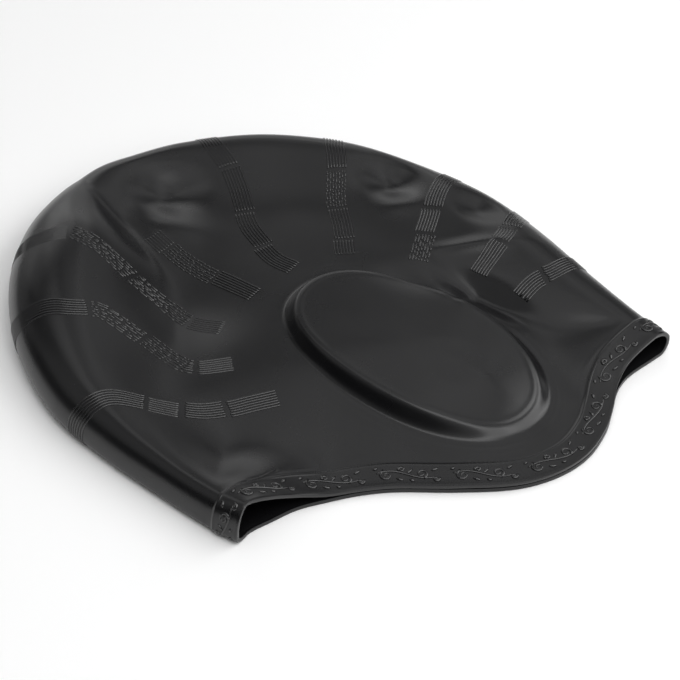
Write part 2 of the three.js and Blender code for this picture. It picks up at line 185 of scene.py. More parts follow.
class RowCurve:
    """A smooth curve through rows of columns, x and y first, read by the distance along it."""

    SAMPLES = 600

    def __init__(self, rows: np.ndarray) -> None:
        """Samples the curve.

        Args:
            rows: One row of columns per point, x and y first.
        """
        steps = np.hypot(*np.diff(rows[:, :2], axis=0).T)
        knots = np.concatenate([[0.0], np.cumsum(steps)])
        low = np.maximum(np.arange(len(rows)) - 1, 0)
        high = np.minimum(np.arange(len(rows)) + 1, len(rows) - 1)
        slopes = (rows[high] - rows[low]) / (knots[high] - knots[low])[:, None]
        u = np.linspace(0.0, knots[-1], self.SAMPLES + 1)
        i = np.clip(np.searchsorted(knots, u) - 1, 0, len(rows) - 2)
        h = (knots[i + 1] - knots[i])[:, None]
        t = (u - knots[i])[:, None] / h
        self.samples = (
            (2 * t**3 - 3 * t**2 + 1) * rows[i]
            + (t**3 - 2 * t**2 + t) * h * slopes[i]
            + (3 * t**2 - 2 * t**3) * rows[i + 1]
            + (t**3 - t**2) * h * slopes[i + 1]
        )
        gone = np.hypot(*np.diff(self.samples[:, :2], axis=0).T)
        self.along = np.concatenate([[0.0], np.cumsum(gone)])
        self.length = float(self.along[-1])

    def at(self, distance: np.ndarray) -> np.ndarray:
        """Reads the curve.

        Args:
            distance: Distances along the curve.

        Returns:
            A row of columns for each distance.
        """
        columns = [np.interp(distance, self.along, c) for c in self.samples.T]
        return np.stack(columns, axis=-1)

    def normal(self, distance: np.ndarray) -> np.ndarray:
        """Reads the unit normal on the curve's right-hand side.

        Args:
            distance: Distances along the curve.

        Returns:
            A row of x and y for each distance.
        """
        last = len(self.along) - 1
        i = np.clip(np.searchsorted(self.along, distance), 1, last)
        span = self.samples[np.minimum(i + 2, last), :2] - self.samples[np.maximum(i - 3, 0), :2]
        span = span / np.linalg.norm(span, axis=-1, keepdims=True)
        return np.stack([span[..., 1], -span[..., 0]], axis=-1)

    def inset(self, distance: np.ndarray, inward: np.ndarray) -> np.ndarray:
        """Returns plan points a way in from the curve at the distances."""
        plan = self.at(distance)[..., :2]
        return plan - self.normal(distance) * np.asarray(inward)[..., None]


@dataclass
class CapForm:
    """The cap's outer face as it lies, laid out as patches about the two pockets."""

    width: float = 199.0
    height: float = 221.0
    wall: float = 1.0
    band_width: float = 11.0
    band_rise: float = 0.4
    band_step: float = 1.3
    line_rise: float = 0.12
    line_inset: float = 1.3
    line_half: float = 0.35
    lip_line: float = 0.9
    lip_line_half: float = 0.5
    lip_line_share: float = 0.8
    lip_gap: float = 0.3
    fold_loft: float = 24.4
    fold_lean: float = 24.0
    fold_heel: float = 4.0
    shoulder_run: float = 70.0
    field_loft: float = 9.9
    hem_rise: float = 0.9
    hem_reach: float = 62.0
    mouth_run: float = 34.0
    edge_blur: float = 0.3
    pocket_length: float = 106.0
    pocket_breadth: float = 63.0
    pocket_depth: float = 5.4
    pocket_run: float = 5.4
    pocket_turn: float = -71.0
    pocket_squareness: float = 2.15
    pocket_sink: float = 0.8
    sink_bearing: float = -75.0
    sink_spread: float = 27.0
    pocket_shift: float = 0.1
    pocket_clearance: float = 8.5
    pocket_bead: float = 0.12
    bead_inset: float = 1.1
    bead_half: float = 0.9
    foot_ridge: float = 0.05
    foot_ridges: tuple[tuple[float, float, float], ...] = ((2.0, 0.8, 1.0), (4.6, 0.9, 0.6))
    under_lift: float = 3.5
    under_reach: float = 40.0
    corner_share: float = 0.2
    evenness: float = 0.3
    even_rounds: int = 200
    crown_columns: int = 200
    mouth_columns: int = 110
    upper_rings: int = 40
    lower_rings: int = 22
    upper_climb: int = 12
    lower_climb: int = 8
    roll_turns: int = 26
    face_stops: tuple[float, ...] = (0, 0.5, 1.0, 1.6, 2.3, 3.2, 4.6, 7, 11, 16, 21)
    face_reach: float = 26.0
    stop_gap: float = 0.2
    lip_stops: tuple[float, ...] = (6.5, 4.0, 1.6, 1.2, 0.9, 0.6, 0.3, 0.0)
    ripple: float = 0.07

    def __post_init__(self) -> None:
        """Lays out the fold's and the mouth's curves and the pocket's middle."""
        plan = np.array([self.width, self.height])
        loft, lean, run = self.fold_loft, self.fold_lean, self.shoulder_run
        fold_rows = np.array(FOLD_ROWS) * np.array([*plan, loft, lean, run, 1.0])
        self.fold = RowCurve(fold_rows)
        self.nape, self.brow = fold_rows[-1], fold_rows[0]
        lobe = 2 * self.wall + self.band_rise + self.lip_gap
        self.hem_loft = lobe + self.hem_rise
        rows = np.array(MOUTH_ROWS) * np.array([*plan, loft]) + np.array([0.0, 0.0, lobe])
        end = np.array(self.fold.length)
        start = np.array(0.0)
        tips = [
            [*self.fold.inset(end, 0.0), self.nape[2]],
            [*self.fold.inset(end, self.nape[3]), self.nape[2]],
            [*self.fold.inset(start, self.brow[3]), self.brow[2]],
            [*self.fold.inset(start, 0.0), self.brow[2]],
        ]
        self.mouth = RowCurve(np.array([*tips[:2], *rows, *tips[2:]]))
        bearings = np.linspace(0, 2 * math.pi, RowCurve.SAMPLES)
        reach = np.max(self.pocket_radius(bearings, 0.0) * np.sin(bearings))
        lowest = self.mouth.samples[:, 1].min()
        clear = self.band_width + self.pocket_clearance
        self.centre = np.array([self.pocket_shift * self.width, lowest + clear + reach])

    def pocket_radius(self, bearing: np.ndarray, inward: np.ndarray) -> np.ndarray:
        """Returns the pocket outline's radius at bearings in radians, a way in from the wall's foot."""
        turned = bearing - math.radians(self.pocket_turn)
        n = self.pocket_squareness
        long, short = self.pocket_length / 2 - inward, self.pocket_breadth / 2 - inward
        return (np.abs(np.cos(turned) / long) ** n + np.abs(np.sin(turned) / short) ** n) ** (-1 / n)

    def pocket_point(self, bearing: np.ndarray, inward: np.ndarray) -> np.ndarray:
        """Returns plan points of the pocket's outline, a way in from the wall's foot."""
        radius = self.pocket_radius(bearing, inward)
        return self.centre + np.stack([radius * np.cos(bearing), radius * np.sin(bearing)], axis=-1)

    def pocket_rise(self, plan: np.ndarray) -> np.ndarray:
        """Returns the pocket face's height over the field, which sinks towards its end by the ear lobe."""
        out = plan - self.centre
        bearing = np.arctan2(out[..., 1], out[..., 0])
        past = np.remainder(bearing - math.radians(self.sink_bearing) + math.pi, 2 * math.pi) - math.pi
        reach = np.hypot(out[..., 0], out[..., 1]) / self.pocket_radius(bearing, self.pocket_run)
        sunk = self.pocket_sink * hump(np.degrees(past), 0.0, self.sink_spread)
        return self.pocket_depth * (1 - sunk * np.clip(reach, 0.0, 1.0) ** 3)

    def field_height(self, plan: np.ndarray) -> np.ndarray:
        """Returns the open field's height, which is drawn down along the mouth."""
        flat = plan.reshape(-1, 2)
        edge = self.mouth.samples[:, :2]
        near = np.concatenate(
            [
                np.min(np.linalg.norm(part[:, None] - edge[None], axis=-1), axis=1)
                for part in np.array_split(flat, max(1, len(flat) // 2000))
            ]
        )
        share = smooth(near / self.hem_reach).reshape(plan.shape[:-1])
        return lerp(self.hem_loft, self.field_loft, share)

    def relief(self, plan: np.ndarray) -> np.ndarray:
        """Returns the folds, dents and faint ripples added to the upper sheet's height."""
        x, y = plan[..., 0], plan[..., 1]
        waves = np.sin(x / 7.1 + 0.9) * np.sin(y / 8.3 + 0.4) + np.sin((x + y) / 11.7) * np.sin((x - y) / 9.7)
        total = self.ripple * waves
        for dent in DENTS:
            turn = math.radians(dent.turn)
            dx, dy = x - dent.x, y - dent.y
            along = (dx * math.cos(turn) + dy * math.sin(turn)) / dent.along
            side = dy * math.cos(turn) - dx * math.sin(turn)
            fall = np.abs(side / dent.across) ** dent.power
            if dent.gentle:
                fall = np.where(side > 0, fall, (side / dent.gentle) ** 2)
            total = total + dent.rise * np.exp(-(along**2) - fall)
        return total

    def fold_point(self, distance: np.ndarray, turn: np.ndarray, floor: float = 0.0) -> np.ndarray:
        """Places the rolled fold.

        Args:
            distance: Distances along the fold from the brow tip.
            turn: 0 at the upper sheet, 0.5 at the outermost line, 1 at the floor.
            floor: The height of the roll's lower edge.

        Returns:
            Points in millimetres.
        """
        row = self.fold.at(distance)
        angle = math.pi * turn
        waist = row[..., 5] * row[..., 2]
        above = turn < 0.5
        inward = np.where(above, row[..., 3], self.fold_heel) * (1 - np.sin(angle))
        plan = self.fold.inset(distance, inward)
        lower = lerp(floor, waist, 1 + np.cos(angle))
        upper = lerp(waist, row[..., 2], np.cos(angle)) + self.relief(plan) * np.cos(angle)
        return np.concatenate([plan, np.where(above, upper, lower)[..., None]], axis=-1)

    def raised(self, distance: np.ndarray) -> np.ndarray:
        """Returns how far the band's face stands above the skin, at distances in from the lip."""
        step = self.band_rise * smooth((self.band_width - distance) / self.band_step)
        inner = hump(distance, self.band_width - self.line_inset, self.line_half)
        outer = hump(distance, self.lip_line, self.lip_line_half)
        return step + self.line_rise * (inner + self.lip_line_share * outer)

    def band_point(self, share: np.ndarray, distance: np.ndarray, is_upper: bool) -> np.ndarray:
        """Places the mouth band on one sheet.

        Args:
            share: 0 at the nape end and 1 at the brow end.
            distance: Distances in from the lip.
            is_upper: True on the upper sheet.

        Returns:
            Points of the skin in millimetres, before the band's own rise.
        """
        first = self.nape[3] if is_upper else self.fold_heel
        last = self.mouth.length - (self.brow[3] if is_upper else self.fold_heel)
        at = lerp(first, last, share)
        plan = self.mouth.inset(at, distance)
        nape_weight = smooth(1 - share / self.corner_share)
        brow_weight = smooth(1 - (1 - share) / self.corner_share)
        corners = ((self.fold.length - distance, nape_weight, first), (distance, brow_weight, last))
        lift = np.zeros_like(distance)
        for down, weight, start in corners:
            row = self.fold.at(down)
            wanted = self.fold.inset(down, row[..., 3] if is_upper else self.fold_heel)
            corner_at = np.full_like(distance, start)
            found = self.mouth.inset(corner_at, distance)
            plan = plan + (wanted - found) * weight[..., None]
            lift = lift + (row[..., 2] - self.band_loft(corner_at, wanted, distance)) * weight
        if is_upper:
            z = self.band_loft(at, plan, distance) + lift
        else:
            z = self.band_rise * smooth((self.band_width - distance) / self.band_step)
        return np.concatenate([plan, z[..., None]], axis=-1)

    def band_loft(self, at: np.ndarray, plan: np.ndarray, distance: np.ndarray) -> np.ndarray:
        """Returns the upper band's height between lip and field, at distances in from the lip."""
        return lerp(self.mouth.at(at)[..., 2], self.field_height(plan), distance / (2 * self.band_width))

    def shoulder(self, plan: np.ndarray, end: np.ndarray, run: np.ndarray) -> np.ndarray:
        """Finds how far the upper sheet stands off its open field.

        Args:
            plan: Plan points of the sheet.
            end: The sheet's edge points.
            run: Over what distance each edge point's own height dies away inwards.

        Returns:
            A height for each plan point.
        """
        over = end[:, 2] - self.field_height(end[:, :2])
        near = np.linalg.norm(plan[..., None, :] - end[:, :2], axis=-1)
        weight = (near**2 + self.edge_blur**2) ** -3
        return np.sum(weight * over * (1 - settle(near / run)), axis=-1) / np.sum(weight, axis=-1)

    def sheet_edge(self, is_upper: bool) -> tuple[np.ndarray, np.ndarray]:
        """Finds the outer ends of a sheet's columns, along the fold and then along the band.

        Args:
            is_upper: True on the upper sheet.

        Returns:
            The ends' points, and the run over which each end's height settles to the field.
        """
        j = np.linspace(0, 1, self.crown_columns + 1)
        down = lerp(self.band_width, self.fold.length - self.band_width, j)
        row = self.fold.at(down)
        crown = self.fold.inset(down, row[:, 3] if is_upper else self.fold_heel)
        loft = row[:, 2] if is_upper else np.zeros(len(down))
        crown = np.column_stack([crown, loft])
        share = np.linspace(0, 1, self.mouth_columns + 1)[1:-1]
        band = self.band_point(share, np.full_like(share, self.band_width), is_upper)
        corner = lerp(self.nape[4], self.brow[4], share)
        ease = smooth(np.minimum(share, 1 - share) / (2 * self.corner_share))
        runs = np.concatenate([row[:, 4], lerp(corner, self.mouth_run, ease)])
        return np.concatenate([crown, band]), runs

    def sheet(self, is_upper: bool) -> list[np.ndarray]:
        """Places a sheet's patches: the field, the pocket's wall and the pocket's face.

        Args:
            is_upper: True on the upper sheet.

        Returns:
            Arrays of rings by columns by 3, each closed on itself along its columns.
        """
        end, run = self.sheet_edge(is_upper)
        bearing = np.arctan2(end[:, 1] - self.centre[1], end[:, 0] - self.centre[0])
        wrapped = bearing < bearing[0] - 1e-6
        bearing = np.where(wrapped, bearing + 2 * math.pi, bearing)
        even = bearing[0] + 2 * math.pi * np.arange(len(end)) / len(end)
        foot_bearing = lerp(bearing, even, self.evenness)
        foot = self.pocket_point(foot_bearing, 0.0)
        length = np.hypot(*(end[:, :2] - foot).T)
        rings = self.upper_rings if is_upper else self.lower_rings
        t = np.linspace(0, 1, rings + 1)
        share = lerp(t, t**2, 0.5)[:, None]
        plan = lerp(foot[None], end[None, :, :2], share[..., None])
        if is_upper:
            z = self.field_height(plan) + self.shoulder(plan, end, run) + self.relief(plan)
            out = share * length  # from the pocket wall's foot
            for away, half, part in self.foot_ridges:
                z = z + self.foot_ridge * part * hump(out, away, half)
        else:
            plan = self.relaxed(plan)
            room = np.minimum(length, self.under_reach)
            z = self.under_lift * smooth(length / self.under_reach) * smooth(1 - share * length / room)
        field_patch = np.concatenate([plan, z[..., None]], axis=-1)

        steps = self.upper_climb if is_upper else self.lower_climb
        climb = np.linspace(0, 1, steps + 1)[:, None]
        wall = self.pocket_point(foot_bearing, self.pocket_run * climb)
        rise = smooth(climb)
        if is_upper:
            top = self.field_height(wall) + self.pocket_rise(wall) + self.relief(wall)
            z = lerp(field_patch[0, :, 2], top, rise)
        else:
            z = field_patch[0, :, 2] * (1 - rise)
        wall_patch = np.concatenate([wall, z[..., None]], axis=-1)

        inward = np.array(self.face_stops)[:, None]
        spread = (self.pocket_breadth / 2 - self.pocket_run) / self.face_reach
        rim = self.pocket_point(foot_bearing, self.pocket_run)
        radius = np.hypot(*(rim - self.centre).T)
        face = lerp(rim, self.centre, np.minimum(inward * spread / radius, 1.0)[..., None])
        face = np.concatenate([face, np.broadcast_to(self.centre, (1, len(end), 2))])
        if is_upper:
            z = self.field_height(face) + self.pocket_rise(face) + self.relief(face)
            gone = np.concatenate([inward, [[self.pocket_breadth]]])
            z = z + self.pocket_bead * hump(gone, self.bead_inset, self.bead_half) * smooth(gone)
        else:
            z = np.zeros(face.shape[:2])
        face_patch = np.concatenate([face, z[..., None]], axis=-1)
        return [self.closed(p) for p in (field_patch, wall_patch, face_patch)]

    def relaxed(self, plan: np.ndarray) -> np.ndarray:
        """Evens out the plan points between a ring patch's two edges, so that none fold over.

        Args:
            plan: Rings by columns by 2.

        Returns:
            The plan points with the first and last rings where they were.
        """
        plan = plan.copy()
        for _ in range(self.even_rounds):
            around = (np.roll(plan, 1, axis=1) + np.roll(plan, -1, axis=1))[1:-1]
            plan[1:-1] = (around + plan[:-2] + plan[2:]) / 4
        return plan

    @staticmethod
    def closed(patch: np.ndarray) -> np.ndarray:
        """Returns the patch with its first column repeated at its end."""
        return np.concatenate([patch, patch[:, :1]], axis=1)

    def roll(self) -> np.ndarray:
        """Returns the rolled fold between the two bands' ends as an array of turns by distances by 3."""
        down = np.linspace(self.band_width, self.fold.length - self.band_width, self.crown_columns + 1)
        turn = np.linspace(0, 1, self.roll_turns + 1)
        return self.fold_point(*np.meshgrid(down, turn))

    def band_stops(self) -> np.ndarray:
        """Returns the band's rings, close together at its step, its lines and its lip."""
        inner = self.band_width - np.arange(0.0, 2 * self.line_inset, self.stop_gap)
        return np.concatenate([inner, self.lip_stops])

    def band_sheet(self, is_upper: bool, distance: np.ndarray, stations: int) -> np.ndarray:
        """Places the band on one sheet.

        Args:
            is_upper: True on the upper sheet.
            distance: The rings' distances in from the lip.
            stations: The number of steps from nape to brow.

        Returns:
            An array of rings by stations by 3, before the band's own rise.
        """
        share, deep = np.meshgrid(np.linspace(0, 1, stations + 1), distance)
        points = self.band_point(share, deep, is_upper)
        if is_upper:
            points[..., 2] += self.relief(points[..., :2])
        return points

    def band_end(self, is_nape: bool, distance: np.ndarray, stations: int) -> np.ndarray:
        """Places the band where it goes round one end of the fold.

        Args:
            is_nape: True at the nape.
            distance: The rings' distances in from the lip.
            stations: The number of steps from the upper sheet to the lower one.

        Returns:
            An array of rings by stations by 3, before the band's own rise.
        """
        turn = np.linspace(0, 1, stations + 1)
        rows = []
        for deep in distance:
            down = np.full_like(turn, self.fold.length - deep if is_nape else deep)
            step = self.band_rise * float(smooth((self.band_width - deep) / self.band_step))
            rows.append(self.fold_point(down, turn, step))
        return np.array(rows)


def grid_of(bm: bmesh.types.BMesh, points: np.ndarray) -> list[bmesh.types.BMVert]:
    """Adds a grid and moves its vertices to the given places.

    Args:
        bm: The mesh that takes the grid.
        points: Rows by columns by 3, in metres.

    Returns:
        The grid's vertices, in rows.
    """
    rows, columns = points.shape[0] - 1, points.shape[1] - 1
    made = bmesh.ops.create_grid(bm, x_segments=columns, y_segments=rows, size=1.0)["verts"]
    ordered = sorted(made, key=lambda v: (round(v.co.y * rows * 4), v.co.x))
    for vert, place in zip(ordered, points.reshape(-1, 3)):
        vert.co = Vector(place)
    return ordered


def finished(bm: bmesh.types.BMesh, name: str, material: bpy.types.Material) -> bpy.types.Object:
    """Turns a mesh into a smooth-shaded piece at the origin.

    Args:
        bm: The mesh, which is freed.
        name: The piece's name.
        material: The piece's finish.

    Returns:
        The new object, riding on the cap's body.
    """
    mesh = bpy.data.meshes.new(name)
    bm.to_mesh(mesh)
    bm.free()
    mesh.shade_smooth()
    mesh.materials.append(material)
    piece = bpy.data.objects.new(name, mesh)
    bpy.context.scene.collection.objects.link(piece)
    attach(piece, BODY)
    return piece


class Effects:
    """Node groups that more than one finish uses."""

    @staticmethod
    def _group(name: str, inputs: dict[str, float], outputs: tuple[str, ...]) -> bpy.types.NodeTree:
        """Makes a group with float inputs and outputs.

        Args:
            name: The group's name.
            inputs: Default values by name.
            outputs: The outputs' names.

        Returns:
            The group with its input and output nodes.
        """
        group = bpy.data.node_groups.new(name, "ShaderNodeTree")
        for label, value in inputs.items():
            socket = group.interface.new_socket(label, in_out="INPUT", socket_type="NodeSocketFloat")
            socket.default_value = value
        for label in outputs:
            group.interface.new_socket(label, in_out="OUTPUT", socket_type="NodeSocketFloat")
        group.nodes.new("NodeGroupInput")
        group.nodes.new("NodeGroupOutput")
        return group

    @classmethod
    def skin_grain(cls) -> bpy.types.NodeTree:
        """Builds the fine moulded grain of the silicone.

        Returns:
            A group with a Height over the surface and a Cloud that varies slowly over it.
        """
        group = cls._group("skin_grain", {"Grain Scale": 1800.0, "Cloud Scale": 26.0}, ("Height", "Cloud"))
        nodes, links = group.nodes, group.links
        given, out = nodes["Group Input"], nodes["Group Output"]
        place = nodes.new("ShaderNodeTexCoord")
        grain = nodes.new("ShaderNodeTexNoise")
        grain.inputs["Detail"].default_value = 3.0
        grain.inputs["Roughness"].default_value = 0.6
        cloud = nodes.new("ShaderNodeTexNoise")
        cloud.inputs["Detail"].default_value = 4.0
        for node, label in ((grain, "Grain Scale"), (cloud, "Cloud Scale")):
            links.new(place.outputs["Object"], node.inputs["Vector"])
            links.new(given.outputs[label], node.inputs["Scale"])
        links.new(grain.outputs["Fac"], out.inputs["Height"])
        links.new(cloud.outputs["Fac"], out.inputs["Cloud"])
        return group

    @classmethod
    def dust(cls) -> bpy.types.NodeTree:
        """Builds fine specks of dust.

        Returns:
            A group whose Mask is 1 on a speck and 0 beside it.
        """
        group = cls._group("dust", {"Speck Scale": 420.0, "Reach": 0.06}, ("Mask",))
        nodes, links = group.nodes, group.links
        given, out = nodes["Group Input"], nodes["Group Output"]
        place = nodes.new("ShaderNodeTexCoord")
        specks = nodes.new("ShaderNodeTexVoronoi")
        specks.inputs["Randomness"].default_value = 1.0
        thin = nodes.new("ShaderNodeTexNoise")
        thin.inputs["Scale"].default_value = 60.0
        links.new(place.outputs["Object"], specks.inputs["Vector"])
        links.new(place.outputs["Object"], thin.inputs["Vector"])
        links.new(given.outputs["Speck Scale"], specks.inputs["Scale"])
        near = nodes.new("ShaderNodeMath")
        near.operation = "LESS_THAN"
        links.new(specks.outputs["Distance"], near.inputs[0])
        links.new(given.outputs["Reach"], near.inputs[1])
        patchy = nodes.new("ShaderNodeMath")
        patchy.operation = "GREATER_THAN"
        patchy.inputs[1].default_value = 0.56
        links.new(thin.outputs["Fac"], patchy.inputs[0])
        both = nodes.new("ShaderNodeMath")
        both.operation = "MULTIPLY"
        links.new(near.outputs[0], both.inputs[0])
        links.new(patchy.outputs[0], both.inputs[1])
        links.new(both.outputs[0], out.inputs["Mask"])
        return group


@dataclass(frozen=True)
class SiliconeFinish:
    """Black moulded silicone with a satin face, a fine grain and a little dust."""

    name: str
    colour: tuple[float, float, float] = (0.005, 0.005, 0.0056)
    dusty: tuple[float, float, float] = (0.04, 0.04, 0.042)
    satin: float = 0.25
    dull: float = 0.31
    gloss: float = 0.5
    grain_depth: float = 0.012
    grain_scale: float = 1800.0
    cloud_from: float = 0.3
    cloud_to: float = 0.7

    def build(self, grain: bpy.types.NodeTree, dust: bpy.types.NodeTree) -> bpy.types.Material:
        """Builds the material.

        Args:
            grain: The skin_grain group.
            dust: The dust group.

        Returns:
            The finished material.
        """
        material = bpy.data.materials.new(self.name)
        material.use_nodes = True
        nodes, links = material.node_tree.nodes, material.node_tree.links
        shader = nodes["Principled BSDF"]
        shader.inputs["Specular IOR Level"].default_value = self.gloss
        skin = nodes.new("ShaderNodeGroup")
        skin.node_tree = grain
        skin.inputs["Grain Scale"].default_value = self.grain_scale
        specks = nodes.new("ShaderNodeGroup")
        specks.node_tree = dust
        tint = nodes.new("ShaderNodeMix")
        tint.data_type = "RGBA"
        tint.inputs["A"].default_value = (*self.colour, 1.0)
        tint.inputs["B"].default_value = (*self.dusty, 1.0)
        links.new(specks.outputs["Mask"], tint.inputs["Factor"])
        links.new(tint.outputs["Result"], shader.inputs["Base Color"])
        rough = nodes.new("ShaderNodeMapRange")
        rough.inputs["From Min"].default_value = self.cloud_from
        rough.inputs["From Max"].default_value = self.cloud_to
        rough.inputs["To Min"].default_value = self.satin
        rough.inputs["To Max"].default_value = self.dull
        links.new(skin.outputs["Cloud"], rough.inputs["Value"])
        links.new(rough.outputs["Result"], shader.inputs["Roughness"])
        bump = nodes.new("ShaderNodeBump")
        bump.inputs["Strength"].default_value = 1.0
        bump.inputs["Distance"].default_value = self.grain_depth * MM
        links.new(skin.outputs["Height"], bump.inputs["Height"])
        links.new(bump.outputs["Normal"], shader.inputs["Normal"])
        return material


@dataclass
class Shell:
    """The moulded skin: crown, ear pockets, rolled fold and mouth band in one piece."""

    form: CapForm
    lip_round: float = 0.35
    lip_segments: int = 2
    lip_angle: float = 55.0
    weld: float = 0.004
    band_from: float = 0.2
    shift: np.ndarray = field(default_factory=lambda: np.zeros(3))

    def outer_face(self) -> tuple[bmesh.types.BMesh, list[float]]:
        """Builds the outer face as one open surface.

        Returns:
            The mesh in millimetres, and each vertex's rise above the skin.
        """
        form = self.form
        stops = form.band_stops()
        bare = [*form.sheet(True), *form.sheet(False), form.roll()]
        banded = [
            form.band_sheet(True, stops, form.mouth_columns),
            form.band_sheet(False, stops, form.mouth_columns),
            form.band_end(True, stops, form.roll_turns),
            form.band_end(False, stops, form.roll_turns),
        ]
        bm = bmesh.new()
        rise = bm.verts.layers.float.new("rise")
        for patch in bare:
            grid_of(bm, patch)
        for patch in banded:
            rings = np.repeat(form.raised(stops), patch.shape[1])
            for vert, high in zip(grid_of(bm, patch), rings):
                vert[rise] = float(high)
        bmesh.ops.remove_doubles(bm, verts=bm.verts, dist=self.weld)
        bmesh.ops.dissolve_degenerate(bm, edges=bm.edges, dist=self.weld / 2)
        bmesh.ops.recalc_face_normals(bm, faces=bm.faces)
        bm.faces.ensure_lookup_table()
        top = max(bm.faces, key=lambda f: f.calc_center_median().z)
        if top.normal.z < 0:
            bmesh.ops.reverse_faces(bm, faces=bm.faces)
        bm.normal_update()
        return bm, rise

    def build(self, material: bpy.types.Material) -> bpy.types.Object:
        """Builds the skin with its thickness.

        Args:
            material: The cap's finish.

        Returns:
            The piece that stands for the CAD solid.
        """
        bm, rise = self.outer_face()
        band = [v.index for v in bm.verts if v[rise] > self.band_from]
        moves = [v.normal * v[rise] for v in bm.verts]
        for vert, move in zip(bm.verts, moves):
            vert.co += move
        low = np.min([v.co for v in bm.verts], axis=0)
        high = np.max([v.co for v in bm.verts], axis=0)
        cad_low, cad_high = (np.array(c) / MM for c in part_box(NODE))
        self.shift = (cad_low + cad_high) / 2 - (low + high) / 2
        self.shift[2] = 0.0
        for vert in bm.verts:
            vert.co = (vert.co + Vector(self.shift)) * MM
        piece = finished(bm, "cap_skin", material)
        group = piece.vertex_groups.new(name="band")
        group.add(band, 1.0, "REPLACE")
        thick = self.form.wall + self.form.band_rise
        wall = piece.modifiers.new("wall", "SOLIDIFY")
        wall.thickness = thick * MM
        wall.offset = -1.0
        wall.vertex_group = "band"
        wall.thickness_vertex_group = self.form.wall / thick
        lip = piece.modifiers.new("lip", "BEVEL")
        lip.limit_method = "ANGLE"
        lip.angle_limit = math.radians(self.lip_angle)
        lip.width = self.lip_round * MM
        lip.segments = self.lip_segments
        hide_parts(NODE)
        return piece


class Stroke(NamedTuple):
    """A raised bead on the skin: its middle line in metres and its radius at each point."""

    points: np.ndarray
    radii: np.ndarray


def beads(strokes: list[Stroke], name: str, material: bpy.types.Material, sides: int) -> bpy.types.Object:
    """Builds raised beads along strokes as one piece.

    Args:
        strokes: The beads' middle lines and radii.
        name: The piece's name.
        material: The piece's finish.
        sides: The curve's bevel resolution.

    Returns:
        The piece, as a mesh.
    """
    curve = bpy.data.curves.new(name, "CURVE")
    curve.dimensions = "3D"
    curve.bevel_depth = 1.0
    curve.bevel_resolution = sides
    curve.use_fill_caps = True
    for stroke in strokes:
        spline = curve.splines.new("POLY")
        spline.points.add(len(stroke.points) - 1)
        spline.points.foreach_set("co", np.column_stack([stroke.points, np.ones(len(stroke.points))]).ravel())
        spline.points.foreach_set("radius", np.asarray(stroke.radii, dtype=float))
    holder = bpy.data.objects.new(name + "_lines", curve)
    bpy.context.scene.collection.objects.link(holder)
    bm = bmesh.new()
    bm.from_mesh(holder.evaluated_get(bpy.context.evaluated_depsgraph_get()).to_mesh())
    bpy.data.objects.remove(holder)
    bpy.data.curves.remove(curve)
    bmesh.ops.remove_doubles(bm, verts=bm.verts, dist=BEAD_WELD)
    bmesh.ops.recalc_face_normals(bm, faces=bm.faces)
    return finished(bm, name, material)


class RibLook(Enum):
    """How a stretch of grip ribs is moulded, with how far its ribs stand proud in millimetres."""

    PLAIN = 0.32
    FINE = 0.18
    BROKEN = 0.25


class Stretch(NamedTuple):
    """A stretch of a rib band: its ends as distances along the band's path, its sideways shift and look."""

    start: float
    stop: float
    shift: float
    look: RibLook = RibLook.PLAIN


class RibBand(NamedTuple):
    """A band of parallel grip ribs: plan points from the outline inwards, and its stretches."""

    path: tuple[tuple[float, float], ...]
    stretches: tuple[Stretch, ...]


NAPE_LOW = RibBand(
    (
        (-98.4, -4.9),
        (-95.1, -5.7),
        (-85.2, -7.4),
        (-76.0, -13.5),
        (-66.6, -20.1),
        (-59.5, -24.6),
        (-51.2, -27.5),
        (-42.4, -29.6),
        (-33.4, -32.1),
    ),
    (
        Stretch(0.0, 25.0, 0.0),
        Stretch(26.0, 36.8, 0.4, RibLook.FINE),
        Stretch(38.4, 52.4, -0.4),
        Stretch(53.6, 71.6, 0.3),
    ),
)
NAPE_MIDDLE = RibBand(
    (
        (-98.0, 49.0),
        (-93.5, 45.4),
        (-83.9, 41.0),
        (-75.5, 34.5),
        (-67.2, 30.2),
        (-61.7, 21.4),
        (-58.0, 13.6),
        (-54.8, 4.0),
        (-51.1, -3.1),
        (-37.2, -9.7),
    ),
    (
        Stretch(0.0, 32.0, 0.0),
        Stretch(33.2, 53.0, 0.3, RibLook.BROKEN),
        Stretch(54.0, 75.0, -0.3, RibLook.BROKEN),
        Stretch(76.0, 88.8, 0.2, RibLook.FINE),
    ),
)
NAPE_HIGH = RibBand(
    (
        (-79.0, 80.5),
        (-73.3, 77.8),
        (-65.1, 73.1),
        (-56.3, 68.0),
        (-50.2, 57.3),
        (-47.5, 48.2),
        (-44.7, 39.4),
        (-40.7, 29.7),
        (-37.6, 19.0),
        (-29.7, 8.8),
    ),
    (
        Stretch(0.0, 24.0, 0.0, RibLook.FINE),
        Stretch(25.0, 52.0, 0.3, RibLook.BROKEN),
        Stretch(53.0, 78.0, -0.3, RibLook.BROKEN),
        Stretch(79.0, 91.4, 0.2, RibLook.FINE),
    ),
)
CREASE_RIBS = RibBand(
    (
        (-30.0, 101.0),
        (-29.2, 92.9),
        (-27.8, 80.9),
        (-25.7, 73.6),
        (-25.0, 65.6),
        (-23.0, 51.9),
        (-20.0, 39.3),
        (-16.0, 28.7),
        (-11.8, 17.0),
    ),
    (
        Stretch(36.0, 45.0, 0.6, RibLook.FINE),
        Stretch(45.8, 68.0, 0.2, RibLook.BROKEN),
        Stretch(68.8, 87.0, -0.4),
    ),
)
